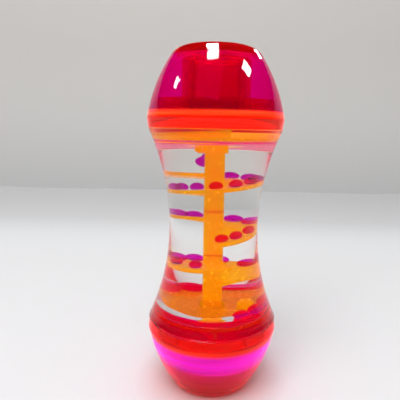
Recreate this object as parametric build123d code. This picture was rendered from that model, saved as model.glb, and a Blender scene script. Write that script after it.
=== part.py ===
from build123d import *
from math import acos, atan2, cos, degrees, pi, radians, sin, sqrt
import os

# A liquid motion timer: a waisted clear body between two domed caps, with three spiral ramps on a column.
# Millimetres, +Z up. Heights below are measured from the body's mid-plane, and the finished pieces are
# raised so that the origin is the centre of the base. Angles run from the left (-X) over the back (+Y)
# to the right (+X), the way the ramps descend.

# Whole timer
total_height = 147.0
flip_angle = 135.0

# Clear body: one arc from flare to flare, with a neck at each end that the cap slips over
waist_diameter = 38.6
flare_diameter = 56.6
body_wall = 1.8
neck_step = 1.9
neck_wall = 1.2
neck_length = 4.6
glue_gap = 0.05

# Domed caps. The shares are of the widest diameter and of the cap's height
cap_height = 32.1
cap_rim_setback = 0.3
cap_bulge = 0.3
cap_widest_height = 3.9
cap_middle_shares = (0.888, 0.498)
cap_shoulder_shares = (0.675, 0.879)
cap_bevel_shares = (0.605, 0.956)
cap_end_share = 0.514
cap_wall = 2.2
cap_edge_round = 0.6

# Closure discs. The upper one has a low rim that centres its cap, and a filling neck with a hollow plug
disc_thickness = 2.1
disc_rim_height = 4.5
disc_rim_wall = 1.5
filling_neck_diameter = 29.0
filling_neck_wall = 3.0
plug_wall = 2.3
plug_floor = 1.5
plug_flange_thickness = 1.4
plug_bevel = 0.4
plug_gap = 0.05
plug_headroom = 1.0

# Reservoir plates, each with a socket for the column and a straight-edged return slot behind a weir
plate_drop = 4.8
plate_thickness = 1.8
socket_wall = 1.0
socket_depth = 3.1
slot_depth = 7.95
slot_angle = 311.0
weir_thickness = 1.2
weir_height = 3.0

# Drip nozzles
nozzle_angle = 76.0
nozzle_inset = 1.5
nozzle_diameter = 6.4
nozzle_reach = 2.8
nozzle_bore_diameter = 1.8
nozzle_bevel = 1.1
nozzle_gap = 0.05
flange_lip = 1.5
flange_thickness = 1.8
inlet_wall = 0.4

# Column sleeves, stacked end to end. The heights of the seams are shares of the plate's height
column_width = 6.5
column_wall = 1.1
column_end_gap = 0.3
spigot_length = 2.0
spigot_wall = 0.7
spigot_gap = 0.05
upper_seam_share = 0.1967
lower_seam_share = -0.3415

# Ramps: the angles where each starts and ends, and the height of its rolling face at the start and its
# fall over one turn, both as shares of the plate's height
ramp_wall_gap = 0.5
ramp_thickness = 1.5
upper_ramp_angles = (0.0, 387.0)
upper_ramp_shares = (0.6667, 0.2295)
middle_ramp_angles = (2.0, 268.0)
middle_ramp_shares = (0.1202, 0.3251)
lower_ramp_angles = (243.0, 620.0)
lower_ramp_shares = (-0.3907, 0.2678)
tail_cut_angle = 545.0
tail_end_distance = 8.0

# Drops of coloured liquid that roll on the ramps. The shares are of the shelf's and the drop's width
bead_edge_inset = 3.5
bead_gap = 0.2
bead_diameter_share = 0.3855
bead_height_share = 0.566
bead_side_round_share = 0.236
bead_side_height_share = 0.2075
upper_bead_angles = (109, 139, 169, 200, 235, 267, 297, 328, 353)
middle_bead_angles = (40, 65, 89, 113, 140, 199, 231, 256)
lower_bead_angles = (298, 345, 401, 427, 458, 495)

# The drop that hangs from the upper nozzle. The shares are of the room below it and of the drop's length
falling_gap = 0.3
falling_length_share = 0.582
falling_width_share = 0.923
falling_neck_share = 0.246

# Liquid lying in the reservoirs, and the drops that have landed on the lower plate
upper_pool_depth = 2.2
lower_pool_gap = 0.3
landed_wall_gap = 0.9
landed_nozzle_gap = 1.06
landed_gap = 0.3
landed_diameter_share = 0.3333
landed_height_share = 0.39
landed_side_round_share = 0.134
landed_side_height_share = 0.122
landed_back_angle = 48.0

# All cuts run past their faces by this much
overrun = 1.0

full_turn = 360.0
half_turn = 180.0
on_foot = (Align.CENTER, Align.CENTER, Align.MIN)

# Sizes that follow from the ones above
half_height = total_height / 2
rim_height = half_height - cap_height
plate_height = rim_height - plate_drop
plate_top_height = plate_height + plate_thickness
neck_end_height = rim_height + neck_length
disc_top_height = neck_end_height + disc_thickness
plug_top_height = rim_height + cap_height * cap_shoulder_shares[1] - plug_headroom
filling_neck_height = plug_top_height - plug_flange_thickness
filling_neck_bore = filling_neck_diameter - 2 * filling_neck_wall
plug_diameter = filling_neck_bore - 2 * plug_gap
neck_diameter = flare_diameter - 2 * neck_step
seat_bore_diameter = neck_diameter - 2 * neck_wall
plate_diameter = seat_bore_diameter - 2 * glue_gap
slot_distance = plate_diameter / 2 - weir_thickness - slot_depth
cap_rim_diameter = flare_diameter - 2 * cap_rim_setback
cap_widest_diameter = flare_diameter + 2 * cap_bulge
column_bore = column_width - 2 * column_wall
column_end_height = plate_height - column_end_gap
socket_bore = column_width + 2 * glue_gap
socket_width = socket_bore + 2 * socket_wall
upper_seam_height = plate_height * upper_seam_share
lower_seam_height = plate_height * lower_seam_share
ramp_radius = waist_diameter / 2 - body_wall - ramp_wall_gap
bead_distance = ramp_radius - bead_edge_inset
bead_diameter = (ramp_radius - column_width / 2) * bead_diameter_share
nozzle_distance = bead_distance - nozzle_inset
flange_diameter = nozzle_diameter + 2 * flange_lip
nozzle_inlet_diameter = nozzle_diameter - 2 * inlet_wall


def direction(angle):
    """Unit vector from the axis towards an angle."""
    turn = radians(angle)
    return Vector(-cos(turn), sin(turn), 0)


def across(angle):
    """Level unit vector at right angles to that, the way the angle grows."""
    turn = radians(angle)
    return Vector(sin(turn), cos(turn), 0)


def at(angle, distance, height=0.0):
    """Point at an angle and a distance from the axis."""
    return direction(angle) * distance + Vector(0, 0, height)


def turned(outline):
    """Solid of revolution about the axis from the lines of a closed half outline."""
    return revolve(make_face(outline), Axis.Z)


def flipped(shape):
    """The same piece at the other end, as the timer is when it is turned over."""
    return shape.rotate(Axis((0, 0, 0), direction(flip_angle)), half_turn)


def disc(diameter, low, high):
    """Plain round disc on the axis between two heights."""
    return Pos(0, 0, low) * Cylinder(diameter / 2, high - low, align=on_foot)


def block(width, low, high):
    """Square block on the axis between two heights."""
    return Pos(0, 0, low) * Box(width, width, high - low, align=on_foot)


def waist_arc_radius():
    """Radius of the one arc that makes the waisted side."""
    depth = (flare_diameter - waist_diameter) / 2
    return (rim_height**2 + depth**2) / (2 * depth)


def side_radius(height):
    """Outer radius of the clear body at a height."""
    arc = waist_arc_radius()
    return waist_diameter / 2 + arc - sqrt(arc**2 - height**2)


def inner_radius(height):
    """Inner radius of the clear body's waisted part at a height."""
    return side_radius(height) - body_wall


def clear_body():
    outer_waist = (waist_diameter / 2, 0, 0)
    inner_waist = (waist_diameter / 2 - body_wall, 0, 0)
    ledge = inner_radius(plate_height)
    flare = flare_diameter / 2
    neck = neck_diameter / 2
    bore = seat_bore_diameter / 2
    right = Polyline(
        (flare, 0, rim_height),
        (neck, 0, rim_height),
        (neck, 0, neck_end_height),
        (bore, 0, neck_end_height),
        (bore, 0, plate_height),
        (ledge, 0, plate_height),
    )
    left = right.mirror(Plane.XY)
    outer = ThreePointArc((flare, 0, rim_height), outer_waist, (flare, 0, -rim_height))
    inner = ThreePointArc((ledge, 0, plate_height), inner_waist, (ledge, 0, -plate_height))
    return turned([*right.edges(), *left.edges(), outer, inner])


def cap_point(shares, inset=0):
    """Point of a cap's outline, drawn in from the outside."""
    across_share, up_share = shares
    return (cap_widest_diameter * across_share / 2 - inset, 0, cap_height * up_share)


def dome_side(inset):
    """Curved side of a cap from its widest place to the shoulder, drawn in from outside, with its ends."""
    widest = (cap_widest_diameter / 2 - inset, 0, cap_widest_height)
    shoulder = cap_point(cap_shoulder_shares, inset)
    return ThreePointArc(widest, cap_point(cap_middle_shares, inset), shoulder), widest, shoulder


def cap_shell():
    """The outside of a cap as a solid, with its rim at height zero."""
    side, widest, shoulder = dome_side(0)
    rim = (cap_rim_diameter / 2, 0, 0)
    end = cap_point((cap_end_share, 1))
    bevel = ThreePointArc(shoulder, cap_point(cap_bevel_shares), end)
    base = Polyline(end, (0, 0, cap_height), (0, 0, 0), rim, widest)
    shell = turned([side, bevel, *base.edges()])
    return fillet(shell.edges().group_by(Axis.Z)[-1], cap_edge_round)


def cap_room(inset, low, high):
    """The room inside a cap between two heights, drawn in from the cap's outside."""
    side, widest, shoulder = dome_side(inset)
    core = Polyline(shoulder, (0, 0, shoulder[-1]), (0, 0, cap_widest_height), widest)
    room = Pos(0, 0, rim_height) * turned([side, *core.edges()])
    return room & disc(cap_widest_diameter, low, high)


def top_cap():
    """A cap whose ledge lies on the closure disc."""
    seat = disc(neck_diameter + 2 * glue_gap, rim_height - overrun, disc_top_height)
    return Pos(0, 0, rim_height) * cap_shell() - cap_room(cap_wall, disc_top_height, half_height) - seat


def plain_end_disc():
    return disc(neck_diameter, neck_end_height, disc_top_height)


def filling_end_disc():
    """The upper closure disc, with the rim inside the cap and the neck for filling."""
    inset = cap_wall + glue_gap
    rim_end = disc_top_height + disc_rim_height
    rim = cap_room(inset, disc_top_height, rim_end)
    rim -= cap_room(inset + disc_rim_wall, disc_top_height - overrun, rim_end + overrun)
    neck = disc(filling_neck_diameter, disc_top_height, filling_neck_height)
    bore = disc(filling_neck_bore, neck_end_height - overrun, filling_neck_height + overrun)
    return plain_end_disc() + rim + neck - bore


def fill_plug():
    """A cup that stands in the filling neck, open at the top, with a flange on the neck's end."""
    stem = disc(plug_diameter, neck_end_height, filling_neck_height)
    flange = disc(filling_neck_diameter, filling_neck_height, plug_top_height)
    recess = disc(plug_diameter - 2 * plug_wall, neck_end_height + plug_floor, plug_top_height + overrun)
    return chamfer((stem + flange).edges().group_by(Axis.Z)[-1], plug_bevel) - recess


def beyond(point, outward, low, high):
    """Block that fills the outer side of an upright plane through a point, between two heights."""
    plane = Plane((point.X, point.Y, low), x_dir=outward, z_dir=(0, 0, 1))
    outside = (Align.MIN, Align.CENTER, Align.MIN)
    return plane * Box(flare_diameter, 2 * flare_diameter, high - low, align=outside)


def beyond_slot(distance, low, high):
    """Everything outside the straight edge of the return slot, between two heights."""
    return beyond(at(slot_angle, distance), direction(slot_angle), low, high)


def beside_nozzle(shape):
    """Move a piece from the axis to the nozzle's place."""
    return Pos(*at(nozzle_angle, nozzle_distance)) * shape


def reservoir_plate():
    plate = disc(plate_diameter, plate_height, plate_top_height)
    below = plate_height - overrun
    opening = disc(plate_diameter - 2 * weir_thickness, below, plate_top_height + overrun)
    opening &= beyond_slot(slot_distance, below, plate_top_height + overrun)
    weir_end = plate_top_height + weir_height
    weir = disc(plate_diameter, plate_top_height, weir_end)
    weir &= beyond_slot(slot_distance - weir_thickness, plate_top_height, weir_end)
    weir -= beyond_slot(slot_distance, plate_height, weir_end + overrun)
    socket = block(socket_width, plate_height - socket_depth, plate_height)
    pocket = block(socket_bore, plate_height - socket_depth - overrun, plate_height)
    hole = disc(nozzle_diameter + 2 * nozzle_gap, below, plate_top_height + overrun)
    return plate - opening + weir + (socket - pocket) - beside_nozzle(hole)


def nozzle():
    low = plate_height - nozzle_reach
    tube = disc(nozzle_diameter, low, plate_top_height)
    tube = chamfer(tube.edges().group_by(Axis.Z)[0], nozzle_bevel)
    flange = disc(flange_diameter, plate_top_height, plate_top_height + flange_thickness)
    bore = disc(nozzle_bore_diameter, low - overrun, plate_top_height + overrun)
    return beside_nozzle(tube + flange - bore - nozzle_inlet())


def nozzle_inlet():
    """The funnel that leads from the reservoir into the drip bore."""
    depth = plate_thickness + flange_thickness
    cone = Cone(nozzle_bore_diameter / 2, nozzle_inlet_diameter / 2, depth,
                align=(Align.CENTER, Align.CENTER, Align.MIN))
    return Pos(0, 0, plate_height) * cone


def ramp_face_height(angle, angles, shares):
    """Height of a ramp's rolling face at an angle."""
    top_share, fall_share = shares
    return plate_height * (top_share - fall_share * (angle - angles[0]) / full_turn)


def ramp(angles, shares):
    """Spiral shelf round the axis, from inside the sleeve's wall out to the ramp's edge."""
    start, end = angles
    inner = column_bore / 2
    width = ramp_radius - inner
    low = ramp_face_height(end, angles, shares)
    rise = ramp_face_height(start, angles, shares) - low
    path = Helix(rise * full_turn / (end - start), rise, inner + width / 2)
    section = Plane.XZ * Pos(inner + width / 2, -ramp_thickness / 2) * Rectangle(width, ramp_thickness)
    shelf = sweep(section, path=path, is_frenet=True)
    return Pos(0, 0, low) * Rot(0, 0, half_turn - end) * shelf


def ramp_module(shelf, low, high, has_spigot):
    """A shelf on its piece of the square column, with a spigot that plugs into the next piece down."""
    module = shelf + block(column_width, low, high) - block(column_bore, low - overrun, high + overrun)
    if has_spigot:
        spigot = column_bore - 2 * spigot_gap
        foot = low - spigot_length
        neck = block(spigot, foot, low) + block(column_bore, low, low + spigot_wall)
        module += neck - block(spigot - 2 * spigot_wall, foot - overrun, high)
    return module


def upper_ramp():
    shelf = ramp(upper_ramp_angles, upper_ramp_shares)
    return ramp_module(shelf, upper_seam_height, column_end_height, True)


def middle_ramp():
    shelf = ramp(middle_ramp_angles, middle_ramp_shares)
    return ramp_module(shelf, lower_seam_height, upper_seam_height, True)


def lower_ramp():
    """The last shelf, whose tail is cut off straight from the outer edge to the column."""
    end = lower_ramp_angles[1]
    corner = at(tail_cut_angle, ramp_radius)
    cut = at(end, tail_end_distance) - corner
    outward = Vector(-cut.Y, cut.X, 0).normalized()
    high = ramp_face_height(tail_cut_angle, lower_ramp_angles, lower_ramp_shares) + ramp_thickness
    low = ramp_face_height(end, lower_ramp_angles, lower_ramp_shares) - 2 * ramp_thickness
    shelf = ramp(lower_ramp_angles, lower_ramp_shares) - beyond(corner, outward, low, high)
    return ramp_module(shelf, -column_end_height, lower_seam_height, False)


def bead(diameter, height, side_round, side_height):
    """A drop lying on a face: a round side under a flatter crown, on a flat foot."""
    reach = diameter / 2 - side_round
    rise = height - side_height
    crown_radius = (reach**2 + rise**2 - side_round**2) / (2 * (rise - side_round))
    centre = height - crown_radius
    lean = atan2(reach, side_height - centre)
    join = (crown_radius * sin(lean), centre + crown_radius * cos(lean))
    middle = (crown_radius * sin(lean / 2), centre + crown_radius * cos(lean / 2))
    foot = (reach + sqrt(side_round**2 - side_height**2), 0)
    side = ThreePointArc(foot, (diameter / 2, side_height), join)
    crown = ThreePointArc(join, middle, (0, height))
    base = Polyline((0, height), (0, 0), foot)
    return revolve(Plane.XZ * make_face([side, crown, *base.edges()]), Axis.Z)


def rolling_bead(angle, angles, shares):
    """A drop seated on a ramp at an angle, tilted with the slope there."""
    height = ramp_face_height(angle, angles, shares)
    slope = Vector(0, 0, 2 * pi * bead_distance) + across(angle) * plate_height * shares[1]
    plane = Plane(at(angle, bead_distance, height), x_dir=direction(angle), z_dir=slope)
    shape = bead(bead_diameter, bead_diameter * bead_height_share, bead_diameter * bead_side_round_share,
                 bead_diameter * bead_side_height_share)
    return plane * Pos(0, 0, bead_gap) * shape


def falling_bead():
    """The drop that hangs from the upper nozzle, drawn out to a thin neck."""
    top = plate_height - nozzle_reach - falling_gap
    face = ramp_face_height(nozzle_angle, upper_ramp_angles, upper_ramp_shares)
    length = (top - face) * falling_length_share
    radius = length * falling_width_share / 2
    neck = length * falling_neck_share / 2
    belly = ThreePointArc((0, 0), (radius * sin(pi / 4), radius * (1 - cos(pi / 4))), (radius, radius))
    shoulder = Spline((radius, radius), (neck, length), tangents=((0, 1), (0, 1)))
    lid = Polyline((neck, length), (0, length), (0, 0))
    shape = revolve(Plane.XZ * make_face([belly, shoulder, *lid.edges()]), Axis.Z)
    return Pos(*at(nozzle_angle, nozzle_distance, top - length)) * shape


def upper_pool():
    surface = plate_top_height + upper_pool_depth
    pool = disc(plate_diameter, plate_top_height, surface)
    pool -= beyond_slot(slot_distance - weir_thickness, plate_height, surface + overrun)
    pool -= beside_nozzle(disc(flange_diameter, plate_height, plate_top_height + flange_thickness))
    drip = nozzle_inlet() + disc(nozzle_bore_diameter, plate_height - nozzle_reach, plate_height)
    return pool + beside_nozzle(drip)


def lower_pool():
    pool = disc(plate_diameter, -neck_end_height, -plate_top_height - lower_pool_gap)
    flange = disc(flange_diameter, plate_top_height, plate_top_height + flange_thickness)
    return pool - flipped(reservoir_plate()) - flipped(beside_nozzle(flange))


def turn_between(first, second, apart):
    """Angle that sets two places, at two distances from the axis, that far apart, or zero where they are."""
    if abs(first - second) >= apart:
        return 0.0
    return degrees(acos((first**2 + second**2 - apart**2) / (2 * first * second)))


def landed_drops():
    """The drops that lie by the wall on the lower plate: three beside its nozzle, two across from it."""
    room = inner_radius(plate_height)
    diameter = room * landed_diameter_share
    distance = room - diameter / 2 - landed_wall_gap
    step = turn_between(distance, distance, diameter + landed_gap)
    apart = (diameter + nozzle_diameter) / 2 + landed_nozzle_gap
    beside = max(turn_between(distance, nozzle_distance, apart), step / 2)
    low_nozzle_angle = 2 * flip_angle - nozzle_angle
    shape = bead(diameter, diameter * landed_height_share, diameter * landed_side_round_share,
                 diameter * landed_side_height_share)
    angles = (low_nozzle_angle - beside, low_nozzle_angle + beside, low_nozzle_angle + beside + step,
              landed_back_angle, landed_back_angle + step)
    return [Pos(*at(angle, distance, -plate_height)) * shape for angle in angles]


def write(name, shape):
    """Raise a piece so that the base is at the origin, and write it."""
    shapes = shape if isinstance(shape, list) else [shape]
    raised = [Pos(0, 0, half_height) * solid for piece in shapes for solid in piece.solids()]
    whole = raised[0] if len(raised) == 1 else Compound(children=raised)
    export_step(whole, os.path.join("parts", name + ".step"))


def main():
    os.makedirs("parts", exist_ok=True)
    write("clear_body", clear_body())
    write("top_cap", top_cap())
    write("bottom_cap", flipped(top_cap()))
    write("top_end_disc", filling_end_disc())
    write("bottom_end_disc", flipped(plain_end_disc()))
    write("fill_plug", fill_plug())
    write("top_reservoir_plate", reservoir_plate())
    write("bottom_reservoir_plate", flipped(reservoir_plate()))
    write("top_nozzle", nozzle())
    write("bottom_nozzle", flipped(nozzle()))
    write("upper_ramp", upper_ramp())
    write("middle_ramp", middle_ramp())
    write("lower_ramp", lower_ramp())
    write("upper_pool", upper_pool())
    write("lower_pool", lower_pool())
    write("landed_drops", landed_drops())
    write("falling_drop", falling_bead())
    trains = (
        ("upper", upper_bead_angles, upper_ramp_angles, upper_ramp_shares),
        ("middle", middle_bead_angles, middle_ramp_angles, middle_ramp_shares),
        ("lower", lower_bead_angles, lower_ramp_angles, lower_ramp_shares),
    )
    for name, places, angles, shares in trains:
        for number, angle in enumerate(places, 1):
            write(f"{name}_drop_{number}", rolling_bead(angle, angles, shares))


main()
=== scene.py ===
import bpy
import math
from mathutils import Matrix, Vector


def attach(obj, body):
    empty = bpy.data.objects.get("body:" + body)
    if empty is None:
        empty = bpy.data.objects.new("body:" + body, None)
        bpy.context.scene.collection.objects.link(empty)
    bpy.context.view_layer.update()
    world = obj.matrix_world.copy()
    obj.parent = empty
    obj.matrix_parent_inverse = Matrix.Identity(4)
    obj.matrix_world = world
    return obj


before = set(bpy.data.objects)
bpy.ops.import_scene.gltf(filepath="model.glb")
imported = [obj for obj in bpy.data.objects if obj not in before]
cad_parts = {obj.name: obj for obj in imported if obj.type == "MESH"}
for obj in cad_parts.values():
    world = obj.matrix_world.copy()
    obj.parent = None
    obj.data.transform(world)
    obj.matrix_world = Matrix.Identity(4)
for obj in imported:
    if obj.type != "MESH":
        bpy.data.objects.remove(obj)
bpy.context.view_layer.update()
MM = 0.001
BLACK = (0, 0, 0)
WHITE = (1, 1, 1)

# Sizes of the clear body's inside, in millimetres, with heights from its mid-plane
HALF_HEIGHT = 73.5
WAIST_RADIUS = 19.3
FLARE_RADIUS = 28.3
RIM_HEIGHT = 41.4
WALL = 1.8
PLATE_HEIGHT = 36.6
BORE_RADIUS = 25.2
CHAMBER_HEIGHT = 46.0

# The filling liquid overlaps what holds it, so that light crosses no air between them
LAP = 0.05

# Faces that touch get a film of air a few thousandths of a millimetre thick, as real ones have
FILM = 0.004
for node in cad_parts.values():
    film = node.modifiers.new("film", "DISPLACE")
    film.direction = "NORMAL"
    film.mid_level = 0
    film.strength = -FILM * MM


# Helpers for materials. Each roughness runs between two values
SMOOTH = (0, 0.02)
SATIN = (0.1, 0.3)


def new_material(name):
    material = bpy.data.materials.new(name)
    material.use_nodes = True
    nodes = material.node_tree.nodes
    return material, nodes, material.node_tree.links, nodes["Principled BSDF"]


def noise(material, scale, detail, stretch=(1, 1, 1)):
    """Noise from 0 to 1, with scale in features to the metre."""
    nodes = material.node_tree.nodes
    links = material.node_tree.links
    where = nodes.new("ShaderNodeTexCoord")
    shape = nodes.new("ShaderNodeMapping")
    shape.inputs["Scale"].default_value = stretch
    texture = nodes.new("ShaderNodeTexNoise")
    texture.inputs["Scale"].default_value = scale
    texture.inputs["Detail"].default_value = detail
    links.new(where.outputs["Object"], shape.inputs["Vector"])
    links.new(shape.outputs["Vector"], texture.inputs["Vector"])
    return texture.outputs["Fac"]


def spread(material, source, low, high, start=0.3, end=0.7):
    """The source's values from start to end, spread to run from low to high."""
    span = material.node_tree.nodes.new("ShaderNodeMapRange")
    span.inputs["From Min"].default_value = start
    span.inputs["From Max"].default_value = end
    span.inputs["To Min"].default_value = low
    span.inputs["To Max"].default_value = high
    material.node_tree.links.new(source, span.inputs["Value"])
    return span.outputs["Result"]


def blend_colours(material, source, first, second):
    """A mix of two colours, each a tuple or a socket."""
    mix = material.node_tree.nodes.new("ShaderNodeMix")
    mix.data_type = "RGBA"
    for letter, colour in (("A", first), ("B", second)):
        if isinstance(colour, tuple):
            mix.inputs[letter].default_value = (*colour, 1)
        else:
            material.node_tree.links.new(colour, mix.inputs[letter])
    material.node_tree.links.new(source, mix.inputs["Factor"])
    return mix.outputs["Result"]


def by_height(material, stops):
    """Colour that changes with height above the floor, from (millimetres, colour) stops."""
    nodes = material.node_tree.nodes
    links = material.node_tree.links
    where = nodes.new("ShaderNodeTexCoord")
    parts = nodes.new("ShaderNodeSeparateXYZ")
    ramp = nodes.new("ShaderNodeValToRGB")
    for _ in stops[2:]:
        ramp.color_ramp.elements.new(0.5)
    for element, (height, colour) in zip(ramp.color_ramp.elements, stops):
        element.position = height / (2 * HALF_HEIGHT)
        element.color = (*colour, 1)
    links.new(where.outputs["Object"], parts.inputs["Vector"])
    share = spread(material, parts.outputs["Z"], 0, 1, 0, 2 * HALF_HEIGHT * MM)
    links.new(share, ramp.inputs["Fac"])
    return ramp.outputs["Color"]


def from_axis(material, near, far):
    """0 nearer to the axis than near, in millimetres, and 1 farther than far."""
    nodes = material.node_tree.nodes
    links = material.node_tree.links
    where = nodes.new("ShaderNodeTexCoord")
    flat = nodes.new("ShaderNodeVectorMath")
    flat.operation = "MULTIPLY"
    flat.inputs[1].default_value = (1, 1, 0)
    size = nodes.new("ShaderNodeVectorMath")
    size.operation = "LENGTH"
    links.new(where.outputs["Object"], flat.inputs[0])
    links.new(flat.outputs["Vector"], size.inputs[0])
    return spread(material, size.outputs["Value"], 0, 1, near * MM, far * MM)


def multiply(material, first, second):
    product = material.node_tree.nodes.new("ShaderNodeMath")
    product.operation = "MULTIPLY"
    material.node_tree.links.new(first, product.inputs[0])
    material.node_tree.links.new(second, product.inputs[1])
    return product.outputs["Value"]


def soften(material, source, power):
    """The source raised to a power: under 1, it rises fast and ends gently."""
    curve = material.node_tree.nodes.new("ShaderNodeMath")
    curve.operation = "POWER"
    curve.inputs[1].default_value = power
    material.node_tree.links.new(source, curve.inputs[0])
    return curve.outputs["Value"]


def see_through(
        name, colour, streak, ior, *, clear=1, roughs=SMOOTH, waves=100, ripple=0.01, mirror=1, glow=0):
    """Moulded plastic or liquid: streaks of dye, soft waves, and roughness that varies.

    clear is the share of light that passes, mirror the tint of what it mirrors, and glow the strength of a
    painted glow in its own tint.
    """
    material, nodes, links, shader = new_material(name)
    flow = spread(material, noise(material, scale=70, detail=2, stretch=(1, 1, 2.5)), 0, 1)
    tint = blend_colours(material, flow, colour, streak)
    links.new(tint, shader.inputs["Base Color"])
    links.new(spread(material, noise(material, scale=900, detail=4), *roughs), shader.inputs["Roughness"])
    bump = nodes.new("ShaderNodeBump")
    bump.inputs["Strength"].default_value = ripple
    bump.inputs["Distance"].default_value = 0.001
    links.new(noise(material, scale=waves, detail=2), bump.inputs["Height"])
    links.new(bump.outputs["Normal"], shader.inputs["Normal"])
    shader.inputs["IOR"].default_value = ior
    shader.inputs["Transmission Weight"].default_value = clear
    shader.inputs["Specular Tint"].default_value = (mirror, mirror, mirror, 1)
    if glow:
        links.new(tint, shader.inputs["Emission Color"])
        shader.inputs["Emission Strength"].default_value = glow
    return material


def absorb(material, colour, density):
    """Colour that deepens with the thickness that light crosses."""
    nodes = material.node_tree.nodes
    volume = nodes.new("ShaderNodeVolumeAbsorption")
    volume.inputs["Color"].default_value = (*colour, 1)
    volume.inputs["Density"].default_value = density
    material.node_tree.links.new(volume.outputs["Volume"], nodes["Material Output"].inputs["Volume"])


def recolour(material, places, colour):
    """Another colour where places is 1, for what shows through it and for its painted glow."""
    links = material.node_tree.links
    shader = material.node_tree.nodes["Principled BSDF"]
    before = shader.inputs["Base Color"].links[0].from_socket
    after = blend_colours(material, places, before, colour)
    links.new(after, shader.inputs["Base Color"])
    if shader.inputs["Emission Strength"].default_value:
        links.new(after, shader.inputs["Emission Color"])


# Clear acrylic of the body, and the clear liquid that fills it
ACRYLIC_IOR = 1.49
WATER_IOR = 1.33
clear_wall = see_through(
    "clear_wall", WHITE, (0.98, 0.99, 0.99), ACRYLIC_IOR, waves=60, ripple=0.015, mirror=0.15)
filling = see_through(
    "filling_liquid", (0.94, 0.93, 0.92), (0.95, 0.94, 0.93), WATER_IOR,
    roughs=(0, 0.002), waves=20, ripple=0, mirror=0)

# Tinted caps: magenta dome, deep red foot, and a red skirt. Their glow is painted light, set by height and
# in painted bands round the caps.
# Their index is low, so that the lower cap doesn't turn pale by mirroring the floor
CAP_IOR = 1.25
cap_plastic = see_through(
    "cap_plastic", (0.98, 0.12, 0.72), (0.98, 0.12, 0.80), CAP_IOR, waves=50, ripple=0.012, mirror=0.6)
absorb(cap_plastic, (0.993, 0.0, 0.881), density=1500)
skirt = by_height(cap_plastic, [(25, BLACK), (27.5, WHITE), (119.5, WHITE), (122, BLACK)])
line_noise = noise(cap_plastic, scale=40, detail=2, stretch=(0.3, 0.3, 30))
mould_lines = spread(cap_plastic, line_noise, 0, 1, 0.42, 0.58)
skirt_colour = blend_colours(cap_plastic, mould_lines, (0.92, 0.24, 0.05), (0.82, 0.09, 0.01))
recolour(cap_plastic, skirt, skirt_colour)
foot = by_height(cap_plastic, [(8, WHITE), (17.5, BLACK)])
recolour(cap_plastic, foot, (0.8, 0.0, 0.08))
# Painted glow by height: dim red at the foot, magenta above it, brightest at the shoulders, faint over the
# upper dome
LOWER_SHOULDER_PAINTED_GLOW = (0.35, 0.025, 0.004)
UPPER_SHOULDER_PAINTED_GLOW = (0.45, 0.06, 0.008)
LOWER_PAINTED_GLOW = [
    (0, (0.03, 0, 0)), (7, (0.06, 0, 0)), (9.5, (0.12, 0, 0.01)), (15.5, (0.16, 0, 0.04)),
    (17.5, (0.27, 0.002, 0.28)), (24.6, (0.27, 0.002, 0.30)), (25.6, LOWER_SHOULDER_PAINTED_GLOW),
    (27.2, LOWER_SHOULDER_PAINTED_GLOW), (28, (0.05, 0.002, 0))]
UPPER_PAINTED_GLOW = [
    (119.2, (0.10, 0.012, 0.002)), (119.8, UPPER_SHOULDER_PAINTED_GLOW), (121.4, UPPER_SHOULDER_PAINTED_GLOW), (121.8, BLACK),
    (126, (0.012, 0, 0.001)), (140, (0.03, 0, 0.003)), (147, (0.07, 0.003, 0.003))]
painted_glow_colour = by_height(cap_plastic, LOWER_PAINTED_GLOW + UPPER_PAINTED_GLOW)
cap_shader = cap_plastic.node_tree.nodes["Principled BSDF"]
# Painted bands of stronger and weaker glow, one above another
painted_glow_lines = spread(cap_plastic, noise(cap_plastic, scale=30, detail=3, stretch=(1, 1, 25)), 0.4, 1.6)
cap_plastic.node_tree.links.new(painted_glow_colour, cap_shader.inputs["Emission Color"])
cap_plastic.node_tree.links.new(painted_glow_lines, cap_shader.inputs["Emission Strength"])


def moulded_orange(name, clear, glow):
    """Satin orange plastic in liquid, which takes away most of its gloss, with a painted glow."""
    orange = (0.89, 0.40, 0.0)
    amber = (0.89, 0.47, 0.002)
    return see_through(
        name, orange, amber, 1.12, clear=clear, roughs=SATIN, waves=250, ripple=0.05, mirror=0.5, glow=glow)


# Orange ramps and nozzles, with darker seams where the ramps' sleeves meet, and a painted glow
orange_plastic = moulded_orange("orange_plastic", clear=0.6, glow=0.2)
SEAM_HEIGHTS = (61.0, 80.7)
SEAM = 0.2
seam_stops = [(0, BLACK)]
for height in SEAM_HEIGHTS:
    seam_stops += [(height - 2 * SEAM, BLACK), (height - SEAM, WHITE)]
    seam_stops += [(height + SEAM, WHITE), (height + 2 * SEAM, BLACK)]
recolour(orange_plastic, by_height(orange_plastic, seam_stops), (0.7, 0.06, 0.0))

# Reservoir plates: the liquid clings under the upper one and has crept round the lower one's rim. Both
# plates have a painted glow
upper_plate = moulded_orange("upper_plate", clear=0.6, glow=0.2)
underside = by_height(upper_plate, [(110.3, WHITE), (110.7, BLACK)])
round_socket = from_axis(upper_plate, 8.6, 9.4)
recolour(upper_plate, multiply(upper_plate, underside, round_socket), (0.85, 0.02, 0.35))
lower_plate = moulded_orange("lower_plate", clear=0.75, glow=0.1)
recolour(lower_plate, from_axis(lower_plate, 23.4, 24.2), (0.85, 0.01, 0.01))

# Closure discs and their plug, with a darker rim inside the upper cap
disc_plastic = see_through(
    "disc_plastic", (0.93, 0.22, 0.08), (0.95, 0.27, 0.10), ACRYLIC_IOR,
    clear=0.95, roughs=(0, 0.1), waves=250, ripple=0.03, mirror=0.4)
disc_rim = by_height(disc_plastic, [(122.2, BLACK), (122.6, WHITE), (125.8, WHITE), (126.2, BLACK)])
recolour(disc_plastic, disc_rim, (0.84, 0.08, 0.05))
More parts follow.
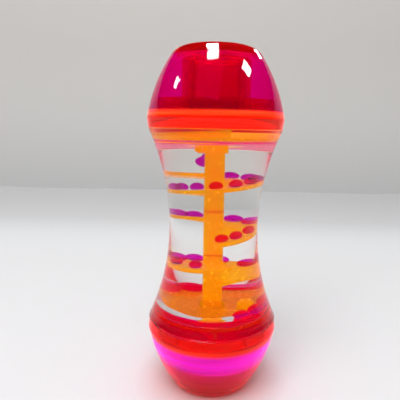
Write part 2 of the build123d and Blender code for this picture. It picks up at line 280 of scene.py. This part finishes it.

# Coloured liquid: in drops, thin above, deep below, on the lower plate and round its rim. Each index is
# against the filling liquid round it
# All of these but the drops have a painted glow
drop_liquid = see_through("drop_liquid", (0.76, 0, 0.46), (0.82, 0, 0.52), 1.02)
film_liquid = see_through("film_liquid", (1, 0.28, 0.01), (1, 0.33, 0.02), 1.06, clear=0.9, glow=0.25)
pool_liquid = see_through("pool_liquid", (0.97, 0, 0.10), (0.97, 0, 0.13), 1.06, glow=0.06)
CRIMSON = (0.88, 0, 0.16)
CRIMSON_STREAK = (0.90, 0, 0.20)
landed = see_through("landed_liquid", CRIMSON, CRIMSON_STREAK, 1.03, glow=0.05)
rim_liquid = see_through("rim_liquid", CRIMSON, CRIMSON_STREAK, 1.08, glow=0.05)

LOOKS = {
    clear_wall: ["clear_body"],
    cap_plastic: ["top_cap", "bottom_cap"],
    disc_plastic: ["top_end_disc", "bottom_end_disc", "fill_plug"],
    upper_plate: ["top_reservoir_plate"],
    lower_plate: ["bottom_reservoir_plate"],
    orange_plastic: ["top_nozzle", "bottom_nozzle", "upper_ramp", "middle_ramp", "lower_ramp"],
    film_liquid: ["upper_pool"],
    pool_liquid: ["lower_pool"],
    landed: ["landed_drops"],
    drop_liquid: ["falling_drop"] + [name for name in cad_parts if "_drop_" in name],
}
for material, names in LOOKS.items():
    for name in names:
        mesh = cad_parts[name].data
        mesh.materials.clear()
        mesh.materials.append(material)


# Helpers for turned meshes
def inner_radius(height):
    """Radius of the body's waisted inside at a height from its mid-plane."""
    depth = FLARE_RADIUS - WAIST_RADIUS
    arc = (RIM_HEIGHT**2 + depth**2) / (2 * depth)
    return WAIST_RADIUS + arc - math.sqrt(arc**2 - height**2) - WALL


def place_mesh(name, vertices, faces, material):
    """A new smooth-shaded object, with its vertices in metres."""
    mesh = bpy.data.meshes.new(name)
    mesh.from_pydata(vertices, [], faces)
    mesh.validate()
    for face in mesh.polygons:
        face.use_smooth = True
    mesh.materials.append(material)
    piece = bpy.data.objects.new(name, mesh)
    bpy.context.scene.collection.objects.link(piece)
    return piece


def on_circle(radius, turn, height):
    """A point in metres, from a radius and a height from the mid-plane in millimetres."""
    return (radius * MM * math.cos(turn), radius * MM * math.sin(turn), (height + HALF_HEIGHT) * MM)


def lathe(outline, segments=160):
    """Vertices and faces of a closed form turned from (radius, height) points that end on the axis."""
    vertices = []
    faces = []
    rings = []
    for radius, height in outline:
        ring = []
        for step in range(segments if radius else 1):
            ring.append(len(vertices))
            vertices.append(on_circle(radius, 2 * math.pi * step / segments, height))
        rings.append(ring)
    for low, high in zip(rings, rings[1:]):
        for step in range(segments):
            after = (step + 1) % segments
            if len(low) == 1:
                faces.append((low[0], high[after], high[step]))
            elif len(high) == 1:
                faces.append((low[step], low[after], high[0]))
            else:
                faces.append((low[step], low[after], high[after], high[step]))
    return vertices, faces


def ring_of(section, segments=144):
    """Vertices and faces of a closed ring, whose section is a list of (radius, height) for each turn."""
    vertices = []
    faces = []
    for step in range(segments):
        turn = 2 * math.pi * step / segments
        points = section(turn)
        count = len(points)
        vertices += [on_circle(radius, turn, height) for radius, height in points]
        here = step * count
        there = (step + 1) % segments * count
        for low in range(count):
            high = (low + 1) % count
            faces.append((here + low, there + low, there + high, here + high))
    return vertices, faces


# Clear liquid that fills the body. A small step beside each corner keeps it sharp when shaded smooth
edge = BORE_RADIUS + LAP
top = CHAMBER_HEIGHT + LAP
NICK = 0.01
outline = [(0, -top), (edge - NICK, -top), (edge, -top + NICK)]
outline += [(edge, -PLATE_HEIGHT - NICK), (edge, -PLATE_HEIGHT)]
STEPS = 96
for step in range(STEPS + 1):
    height = PLATE_HEIGHT * (2 * step / STEPS - 1)
    outline.append((inner_radius(height) + LAP, height))
outline += [(edge, PLATE_HEIGHT), (edge, PLATE_HEIGHT + NICK)]
outline += [(edge, top - NICK), (edge - NICK, top), (0, top)]
liquid = place_mesh("filling_liquid", *lathe(outline), filling)
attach(liquid, "case")


# Landed liquid that gathers round the rim of the lower plate, deeper and wider in front
PUDDLE_RADIUS = 19.5
PUDDLE_WIDENS = 3.0
PUDDLE_DEPTH = 1.1
PUDDLE_DEEPENS = 0.5
PUDDLE_WAVE = 0.5
PUDDLE_UNDERCUT = 0.2
CROWN_SLOPE = 1.6
LIP_WIDTH = 0.6
LIP_HEIGHT = 0.25
PLATE_GAP = 0.02
WALL_GAP = 0.1


def rim_section(turn):
    """The ring's section at an angle: a wavy inner edge, a rounded crown, and a lip up the wall."""
    low = -PLATE_HEIGHT + PLATE_GAP
    front = (0.5 - 0.5 * math.sin(turn))**2
    wave = math.sin(3 * turn + 0.6) + 0.5 * math.sin(7 * turn + 2.0)
    inner = PUDDLE_RADIUS - PUDDLE_WIDENS * front + PUDDLE_WAVE * wave
    deep = PUDDLE_DEPTH + PUDDLE_DEEPENS * front
    lip = low + deep + LIP_HEIGHT
    points = [(inner_radius(low) - WALL_GAP, low), (inner + PUDDLE_UNDERCUT, low)]
    points.append((inner, low + 0.15 * deep))
    for share in (0.15, 0.35, 0.6, 1.0):
        points.append((inner + CROWN_SLOPE * share * deep, low + deep * math.sqrt(1 - (1 - share)**2)))
    points.append((inner_radius(low + deep) - LIP_WIDTH, low + deep))
    points.append((inner_radius(lip) - WALL_GAP, lip))
    return points


puddle = place_mesh("landed_liquid", *ring_of(rim_section), rim_liquid)
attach(puddle, "case")


# Pale floor with painted red light round the foot, standing in for light through it, and painted shade that
# darkens it softly towards a grey wall
def painted_stage(name, corners, axis, near, far, stops, painted_glow=None):
    """A surface whose greys from near to far along an axis are painted shade, with painted red light round
    the foot where it is given.
    """
    material, nodes, links, shader = new_material(name)
    shader.inputs["Roughness"].default_value = 0.6
    shader.inputs["Specular IOR Level"].default_value = 0.1
    where = nodes.new("ShaderNodeTexCoord")
    parts = nodes.new("ShaderNodeSeparateXYZ")
    ramp = nodes.new("ShaderNodeValToRGB")
    ramp.color_ramp.interpolation = "B_SPLINE"
    for _ in stops[2:]:
        ramp.color_ramp.elements.new(0.5)
    for element, (place, colour) in zip(ramp.color_ramp.elements, stops):
        element.position = place
        element.color = (*colour, 1)
    links.new(where.outputs["Object"], parts.inputs["Vector"])
    links.new(spread(material, parts.outputs[axis], 0, 1, near, far), ramp.inputs["Fac"])
    colour = ramp.outputs["Color"]
    if painted_glow:
        # Painted red light round the foot, fading out with distance from the axis
        painted_glow_fade = soften(material, from_axis(material, FOOT_RADIUS, PAINTED_GLOW_RADIUS), power=0.4)
        colour = blend_colours(material, painted_glow_fade, painted_glow, colour)
    links.new(colour, shader.inputs["Base Color"])
    piece = place_mesh(name, corners, [(0, 1, 2, 3)], material)


STAGE_HALF_WIDTH = 3
STAGE_BACK = 0.56
STAGE_HEIGHT = 0.45
FOOT_RADIUS = 15.5
PAINTED_GLOW_RADIUS = 36
left_back = (-STAGE_HALF_WIDTH, STAGE_BACK, 0)
right_back = (STAGE_HALF_WIDTH, STAGE_BACK, 0)
right_top = (STAGE_HALF_WIDTH, STAGE_BACK, STAGE_HEIGHT)
left_top = (-STAGE_HALF_WIDTH, STAGE_BACK, STAGE_HEIGHT)
left_front = (-STAGE_HALF_WIDTH, -STAGE_HALF_WIDTH, 0)
right_front = (STAGE_HALF_WIDTH, -STAGE_HALF_WIDTH, 0)
# Painted shade: the floor's grey darkens towards the wall
FLOOR_SHADE_GREYS = [(0.0, (0.78, 0.78, 0.79)), (0.22, (0.80, 0.81, 0.82)), (0.42, (0.62, 0.62, 0.63)),
               (1.0, (0.52, 0.52, 0.53))]
# Colour of the painted red light round the foot
PAINTED_RED_LIGHT = (0.66, 0.18, 0.18)
floor_corners = [left_front, right_front, right_back, left_back]
painted_stage("floor", floor_corners, "Y", 0.16, STAGE_BACK, FLOOR_SHADE_GREYS, PAINTED_RED_LIGHT)
# Painted shade: the backdrop is darker where it meets the floor and lightest a little above it
WALL_SHADE_GREYS = [(0.0, (0.52, 0.52, 0.52)), (0.5, (0.61, 0.595, 0.57)), (1.0, (0.54, 0.52, 0.495))]
painted_stage("backdrop", [left_back, right_back, right_top, left_top], "Z", 0.0, 0.25, WALL_SHADE_GREYS)

# Soft light from all round, and one large soft lamp above the camera
world = bpy.data.worlds.new("studio")
world.use_nodes = True
world.node_tree.nodes["Background"].inputs["Color"].default_value = (0.98, 0.99, 1.0, 1)
world.node_tree.nodes["Background"].inputs["Strength"].default_value = 0.62
bpy.context.scene.world = world
world.cycles_visibility.glossy = False
key_data = bpy.data.lights.new("key", "AREA")
key_data.shape = "RECTANGLE"
key_data.size = 1.0
key_data.size_y = 1.0
key_data.energy = 14
key = bpy.data.objects.new("key", key_data)
key.location = (-0.25, -0.75, 1.2)
key.rotation_euler = (Vector((0, 0, 0.05)) - key.location).to_track_quat("-Z", "Y").to_euler()
key.visible_glossy = False
bpy.context.scene.collection.objects.link(key)

# Ceiling panels that are seen only where something mirrors them
CEILING = 1.5
BRIGHT = 110
DIM = 80


def mirrored_panel(name, plan, strength):
    """A bright panel on the ceiling, from its corners seen from above."""
    material, nodes, links, shader = new_material(name)
    shader.inputs["Base Color"].default_value = (0, 0, 0, 1)
    shader.inputs["Emission Color"].default_value = (1, 1, 1, 1)
    shader.inputs["Emission Strength"].default_value = strength
    piece = place_mesh(name, [(x, y, CEILING) for x, y in plan], [(3, 2, 1, 0)], material)
    piece.visible_camera = False
    piece.visible_diffuse = False
    piece.visible_transmission = False
    piece.visible_shadow = False


mirrored_panel("panel_middle", [(-0.38, -0.61), (0.08, -0.59), (0.01, 0.75), (-0.25, 0.62)], BRIGHT)
mirrored_panel("panel_right", [(1.03, -0.05), (1.47, 0.04), (1.48, -0.39), (1.05, -0.41)], BRIGHT)
mirrored_panel("panel_back", [(1.0, 1.75), (1.6, 1.75), (1.6, 2.2), (1.0, 2.2)], BRIGHT)
mirrored_panel("panel_left", [(-2.25, -0.25), (-1.75, -0.25), (-1.75, 0.08), (-2.25, 0.08)], DIM)

# Camera, where the photograph was taken from, with its lens and shift in the photograph's pixels
FRAME_WIDTH = 400
FOCAL_LENGTH = 415.27
SHIFT_RIGHT = -14.08
SHIFT_UP = 0.28
LOOKS_DOWN = 10.28
TILTS = 1.14
camera_data = bpy.data.cameras.new("camera")
camera_data.sensor_width = 36
camera_data.lens = camera_data.sensor_width * FOCAL_LENGTH / FRAME_WIDTH
camera_data.clip_start = 0.005
camera_data.shift_x = SHIFT_RIGHT / FRAME_WIDTH
camera_data.shift_y = SHIFT_UP / FRAME_WIDTH
camera = bpy.data.objects.new("camera", camera_data)
place = Matrix.Translation((0, -0.178, 0.11626))
pitch = Matrix.Rotation(math.radians(90 - LOOKS_DOWN), 4, "X")
roll = Matrix.Rotation(math.radians(TILTS), 4, "Z")
camera.matrix_world = place @ pitch @ roll
bpy.context.scene.collection.objects.link(camera)
bpy.context.scene.camera = camera

# Enough bounces for the many walls that light crosses
scene = bpy.context.scene
scene.view_settings.view_transform = "Standard"
scene.cycles.max_bounces = 32
scene.cycles.diffuse_bounces = 6
scene.cycles.glossy_bounces = 32
scene.cycles.transmission_bounces = 32
scene.cycles.transparent_max_bounces = 16
